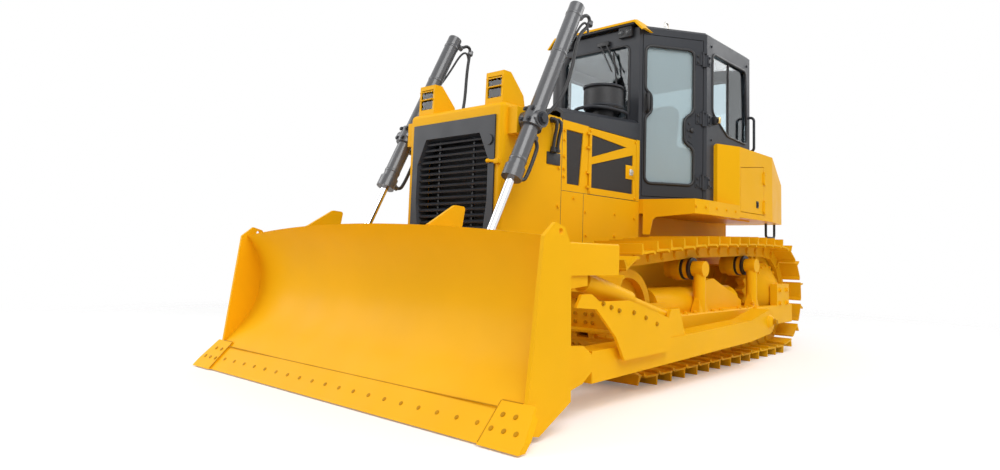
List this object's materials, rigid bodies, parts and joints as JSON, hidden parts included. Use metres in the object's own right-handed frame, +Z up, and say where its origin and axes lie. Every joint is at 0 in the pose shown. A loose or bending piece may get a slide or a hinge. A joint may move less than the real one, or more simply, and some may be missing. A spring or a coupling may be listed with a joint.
{
  "type": "crawler dozer",
  "caption": "Crawler dozer with a straight tilt blade on push arms, twin lift cylinders, steel-shoe tracks, louvred radiator guard and an enclosed faceted cab.",
  "frame": {"origin": "on the ground under the machine, on its centre line, midway between drawbar and cutting edge", "axes": "+X forward to the blade, +Y to the machine's left, +Z up"},
  "size_m": [5.41, 3.426, 3.13],
  "materials": {
    "yellow_paint": "semi-gloss machine yellow enamel",
    "track": "yellow enamel over forged steel",
    "running_gear": "yellow enamel over castings",
    "grey_paint": "satin dark grey enamel",
    "engine_iron": "painted engine castings",
    "radiator_fin": "dark radiator fins",
    "lens_glass": "clear moulded lens",
    "exhaust_steel": "heat-proof dark paint",
    "black_plastic": "moulded, fine grain",
    "tinted_glass": "safety glass, blue-grey tint",
    "seat_cloth": "woven seat cloth",
    "chrome_rod": "hard chrome, polished"
  },
  "bodies": {
    "machine": {"track_left": "track", "track_right": "track", "sprockets": "running_gear", "final_drives": "running_gear", "idlers": "running_gear", "track_rollers": "running_gear", "carrier_rollers": "running_gear", "track_frame_left": "yellow_paint", "track_frame_right": "yellow_paint", "pivot_shaft": "running_gear", "equalizer_bar": "yellow_paint", "main_frame": "yellow_paint", "engine_block": "engine_iron", "radiator_guard": "yellow_paint", "radiator_core": "radiator_fin", "grille": "grey_paint", "lamp_housings": "yellow_paint", "lamp_lenses": "lens_glass", "hood": "grey_paint", "engine_side_panels": "yellow_paint", "exhaust_stack": "exhaust_steel", "air_precleaner": "black_plastic", "deck": "yellow_paint", "cab_frame": "grey_paint", "cab_roof": "grey_paint", "cab_visors": "yellow_paint", "cab_glass": "tinted_glass", "seat": "seat_cloth", "consoles": "black_plastic", "fuel_tank": "yellow_paint", "handrails": "grey_paint", "drawbar": "yellow_paint"},
    "trunnions": {"trunnion_bushings": "running_gear"},
    "left_arm": {"push_arm_left": "yellow_paint"},
    "right_arm": {"push_arm_right": "yellow_paint"},
    "blade": {"blade": "yellow_paint", "blade_frame": "yellow_paint", "cutting_edge": "yellow_paint", "tilt_guard": "yellow_paint"},
    "left_lift_barrel": {"lift_cylinder_left": "grey_paint"},
    "right_lift_barrel": {"lift_cylinder_right": "grey_paint"},
    "left_lift_rod": {"lift_rod_left": "chrome_rod"},
    "right_lift_rod": {"lift_rod_right": "chrome_rod"},
    "tilt_rod": {"tilt_rod": "chrome_rod"},
    "tilt_barrel": {"tilt_cylinder": "yellow_paint"},
    "right_brace": {"tilt_brace": "yellow_paint"},
    "left_cab_door": {"cab_door_left": "grey_paint", "cab_door_glass_left": "tinted_glass"},
    "right_cab_door": {"cab_door_right": "grey_paint", "cab_door_glass_right": "tinted_glass"},
    "left_engine_door": {"engine_door_left": "yellow_paint"},
    "right_engine_door": {"engine_door_right": "yellow_paint"},
    "left_tank_door": {"tank_door_left": "yellow_paint"},
    "right_tank_door": {"tank_door_right": "yellow_paint"}
  },
  "joints": [
    {"name": "blade_lift", "type": "hinge", "parent": "machine", "child": "trunnions", "pos_m": [-0.865, 0, 0.38], "axis": [0, -1, 0], "range_deg": [-8.8, 13.5]},
    {"name": "blade_tilt", "type": "hinge", "parent": "trunnions", "child": "blade", "pos_m": [1.935, 0, 0.305], "axis": [1, 0, 0], "range_deg": [-6, 6]},
    {"name": "left_arm_pitch", "type": "hinge", "parent": "trunnions", "child": "left_arm", "pos_m": [-0.865, 1.36, 0.38], "axis": [0, -1, 0], "range_deg": [-2.96, 2.96]},
    {"name": "right_arm_pitch", "type": "hinge", "parent": "trunnions", "child": "right_arm", "pos_m": [-0.865, -1.36, 0.38], "axis": [0, -1, 0], "range_deg": [-2.96, 2.96]},
    {"name": "left_lift_swing", "type": "hinge", "parent": "machine", "child": "left_lift_barrel", "pos_m": [1.541, 0.7, 1.87], "axis": [0, -1, 0], "range_deg": [-7.75, 11.86]},
    {"name": "right_lift_swing", "type": "hinge", "parent": "machine", "child": "right_lift_barrel", "pos_m": [1.541, -0.7, 1.87], "axis": [0, -1, 0], "range_deg": [-7.75, 11.86]},
    {"name": "left_lift_stroke", "type": "slide", "parent": "left_lift_barrel", "child": "left_lift_rod", "axis": [0.4305, 0, -0.9026], "range_m": [-0.66597, 0.43481]},
    {"name": "right_lift_stroke", "type": "slide", "parent": "right_lift_barrel", "child": "right_lift_rod", "axis": [0.4305, 0, -0.9026], "range_m": [-0.66597, 0.43481]},
    {"name": "tilt_rod_swing", "type": "hinge", "parent": "left_arm", "child": "tilt_rod", "pos_m": [0.815, 1.36, 0.505], "axis": [0, 0, 1], "range_deg": [-2.73, 2.73]},
    {"name": "tilt_stroke", "type": "slide", "parent": "tilt_rod", "child": "tilt_barrel", "axis": [0.9659, 0, 0.2587], "range_m": [-0.02338, 0.02338]},
    {"name": "brace_swing", "type": "hinge", "parent": "right_arm", "child": "right_brace", "pos_m": [0.815, -1.36, 0.505], "axis": [0, 0, 1], "range_deg": [-2.73, 2.73]},
    {"name": "left_cab_door_hinge", "type": "hinge", "parent": "machine", "child": "left_cab_door", "pos_m": [-0.64504, 0.88877, 2.2], "axis": [0, 0, 1], "range_deg": [0, 110]},
    {"name": "right_cab_door_hinge", "type": "hinge", "parent": "machine", "child": "right_cab_door", "pos_m": [-0.64504, -0.88877, 2.2], "axis": [0, 0, -1], "range_deg": [0, 110]},
    {"name": "left_engine_door_hinge", "type": "hinge", "parent": "machine", "child": "left_engine_door", "pos_m": [0.645, 0.529, 1.7], "axis": [0, 0, -1], "range_deg": [0, 110]},
    {"name": "right_engine_door_hinge", "type": "hinge", "parent": "machine", "child": "right_engine_door", "pos_m": [0.645, -0.529, 1.7], "axis": [0, 0, 1], "range_deg": [0, 110]},
    {"name": "left_tank_door_hinge", "type": "hinge", "parent": "machine", "child": "left_tank_door", "pos_m": [-1.688, 1.06, 1.62], "axis": [0, 0, 1], "range_deg": [0, 110]},
    {"name": "right_tank_door_hinge", "type": "hinge", "parent": "machine", "child": "right_tank_door", "pos_m": [-1.688, -1.06, 1.62], "axis": [0, 0, -1], "range_deg": [0, 110]}
  ],
  "couplings": [
    {"joint": "left_lift_swing", "follows": "blade_lift", "ratio": 0.8746},
    {"joint": "right_lift_swing", "follows": "blade_lift", "ratio": 0.8746},
    {"joint": "left_lift_stroke", "follows": "blade_lift", "m_per_rad": -2.818},
    {"joint": "right_lift_stroke", "follows": "blade_lift", "m_per_rad": -2.818},
    {"joint": "left_arm_pitch", "follows": "blade_tilt", "ratio": 0.4857},
    {"joint": "right_arm_pitch", "follows": "blade_tilt", "ratio": -0.4857},
    {"joint": "tilt_rod_swing", "follows": "blade_tilt", "ratio": -0.4464},
    {"joint": "tilt_stroke", "follows": "blade_tilt", "m_per_rad": 0.2137},
    {"joint": "brace_swing", "follows": "blade_tilt", "ratio": -0.4464}
  ]
}
